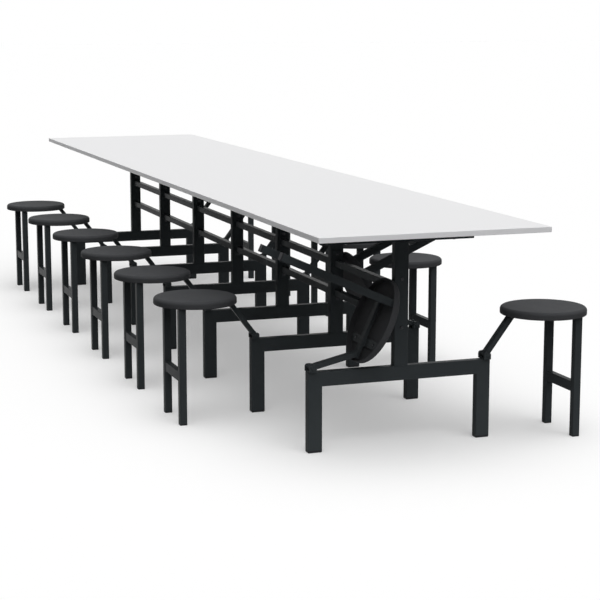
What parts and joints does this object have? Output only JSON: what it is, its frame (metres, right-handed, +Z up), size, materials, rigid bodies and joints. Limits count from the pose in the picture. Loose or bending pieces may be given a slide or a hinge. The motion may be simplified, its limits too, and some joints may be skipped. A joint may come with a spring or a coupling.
{
  "type": "canteen table with folding stools",
  "caption": "Long canteen table on steel trestles joined by rails, with round stools on hinged arms that fold up under the top.",
  "frame": {"origin": "on the floor under the middle of the table top", "axes": "+X along the table towards the pictured near end, +Y across it towards the picture's right-hand stools, +Z up"},
  "size_m": [4.2, 1.37, 0.76],
  "materials": {
    "laminate_board": "pale grey melamine laminate on chipboard, satin",
    "edge_band": "pale grey ABS edge band, satin",
    "frame_steel": "black-grey powder coat, fine texture",
    "stool_steel": "black-grey powder coat, fine texture",
    "seat_plastic": "charcoal polypropylene with a fine moulded grain",
    "black_plastic": "black polyethylene, matt",
    "zinc_steel": "zinc plated",
    "black_bolts": "blackened steel"
  },
  "bodies": {
    "table": {"tabletop": "laminate_board", "edge_bands": "edge_band", "top_screws": "zinc_steel", "trestle_feet": "black_plastic", "bearer_end_caps": "black_plastic", "hinge_pins": "zinc_steel", "hinge_pin_caps": "frame_steel", "upper_rails": "frame_steel", "lower_rails": "frame_steel", "rail_end_plates": "frame_steel", "rail_bolts": "black_bolts", "trestle_1": "frame_steel", "trestle_2": "frame_steel", "trestle_3": "frame_steel", "trestle_4": "frame_steel", "trestle_5": "frame_steel", "trestle_6": "frame_steel", "trestle_7": "frame_steel"},
    "stool_L1": {"seat_L1": "seat_plastic", "stool_frame_L1": "stool_steel", "stool_fittings_L1": "black_plastic"},
    "stool_L2": {"seat_L2": "seat_plastic", "stool_frame_L2": "stool_steel", "stool_fittings_L2": "black_plastic"},
    "stool_L3": {"seat_L3": "seat_plastic", "stool_frame_L3": "stool_steel", "stool_fittings_L3": "black_plastic"},
    "stool_L4": {"seat_L4": "seat_plastic", "stool_frame_L4": "stool_steel", "stool_fittings_L4": "black_plastic"},
    "stool_L5": {"seat_L5": "seat_plastic", "stool_frame_L5": "stool_steel", "stool_fittings_L5": "black_plastic"},
    "stool_L6": {"seat_L6": "seat_plastic", "stool_frame_L6": "stool_steel", "stool_fittings_L6": "black_plastic"},
    "stool_L7": {"seat_L7": "seat_plastic", "stool_frame_L7": "stool_steel", "stool_fittings_L7": "black_plastic"},
    "stool_R1": {"seat_R1": "seat_plastic", "stool_frame_R1": "stool_steel", "stool_fittings_R1": "black_plastic"},
    "stool_R2": {"seat_R2": "seat_plastic", "stool_frame_R2": "stool_steel", "stool_fittings_R2": "black_plastic"},
    "stool_R3": {"seat_R3": "seat_plastic", "stool_frame_R3": "stool_steel", "stool_fittings_R3": "black_plastic"},
    "stool_R4": {"seat_R4": "seat_plastic", "stool_frame_R4": "stool_steel", "stool_fittings_R4": "black_plastic"},
    "stool_R5": {"seat_R5": "seat_plastic", "stool_frame_R5": "stool_steel", "stool_fittings_R5": "black_plastic"},
    "stool_R6": {"seat_R6": "seat_plastic", "stool_frame_R6": "stool_steel", "stool_fittings_R6": "black_plastic"},
    "stool_R7": {"seat_R7": "seat_plastic", "stool_frame_R7": "stool_steel", "stool_fittings_R7": "black_plastic"}
  },
  "joints": [
    {"name": "fold_L1", "type": "hinge", "parent": "table", "child": "stool_L1", "pos_m": [-1.8, -0.3157, 0.288], "axis": [-1, 0, 0], "range_deg": [0, 114.29]},
    {"name": "fold_L2", "type": "hinge", "parent": "table", "child": "stool_L2", "pos_m": [-1.2, -0.3157, 0.288], "axis": [-1, 0, 0], "range_deg": [0, 114.29]},
    {"name": "fold_L3", "type": "hinge", "parent": "table", "child": "stool_L3", "pos_m": [-0.6, -0.3157, 0.288], "axis": [-1, 0, 0], "range_deg": [0, 114.29]},
    {"name": "fold_L4", "type": "hinge", "parent": "table", "child": "stool_L4", "pos_m": [0, -0.3157, 0.288], "axis": [-1, 0, 0], "range_deg": [0, 114.29]},
    {"name": "fold_L5", "type": "hinge", "parent": "table", "child": "stool_L5", "pos_m": [0.6, -0.3157, 0.288], "axis": [-1, 0, 0], "range_deg": [0, 114.29]},
    {"name": "fold_L6", "type": "hinge", "parent": "table", "child": "stool_L6", "pos_m": [1.2, -0.3157, 0.288], "axis": [-1, 0, 0], "range_deg": [0, 114.29]},
    {"name": "fold_L7", "type": "hinge", "parent": "table", "child": "stool_L7", "pos_m": [1.8, -0.3157, 0.288], "axis": [-1, 0, 0], "range_deg": [-114.29, 0]},
    {"name": "fold_R1", "type": "hinge", "parent": "table", "child": "stool_R1", "pos_m": [-1.8, 0.3157, 0.288], "axis": [1, 0, 0], "range_deg": [0, 114.29]},
    {"name": "fold_R2", "type": "hinge", "parent": "table", "child": "stool_R2", "pos_m": [-1.2, 0.3157, 0.288], "axis": [1, 0, 0], "range_deg": [0, 114.29]},
    {"name": "fold_R3", "type": "hinge", "parent": "table", "child": "stool_R3", "pos_m": [-0.6, 0.3157, 0.288], "axis": [1, 0, 0], "range_deg": [0, 114.29]},
    {"name": "fold_R4", "type": "hinge", "parent": "table", "child": "stool_R4", "pos_m": [0, 0.3157, 0.288], "axis": [1, 0, 0], "range_deg": [0, 114.29]},
    {"name": "fold_R5", "type": "hinge", "parent": "table", "child": "stool_R5", "pos_m": [0.6, 0.3157, 0.288], "axis": [1, 0, 0], "range_deg": [0, 114.29]},
    {"name": "fold_R6", "type": "hinge", "parent": "table", "child": "stool_R6", "pos_m": [1.2, 0.3157, 0.288], "axis": [1, 0, 0], "range_deg": [-114.29, 0]},
    {"name": "fold_R7", "type": "hinge", "parent": "table", "child": "stool_R7", "pos_m": [1.8, 0.3157, 0.288], "axis": [1, 0, 0], "range_deg": [0, 114.29]}
  ]
}
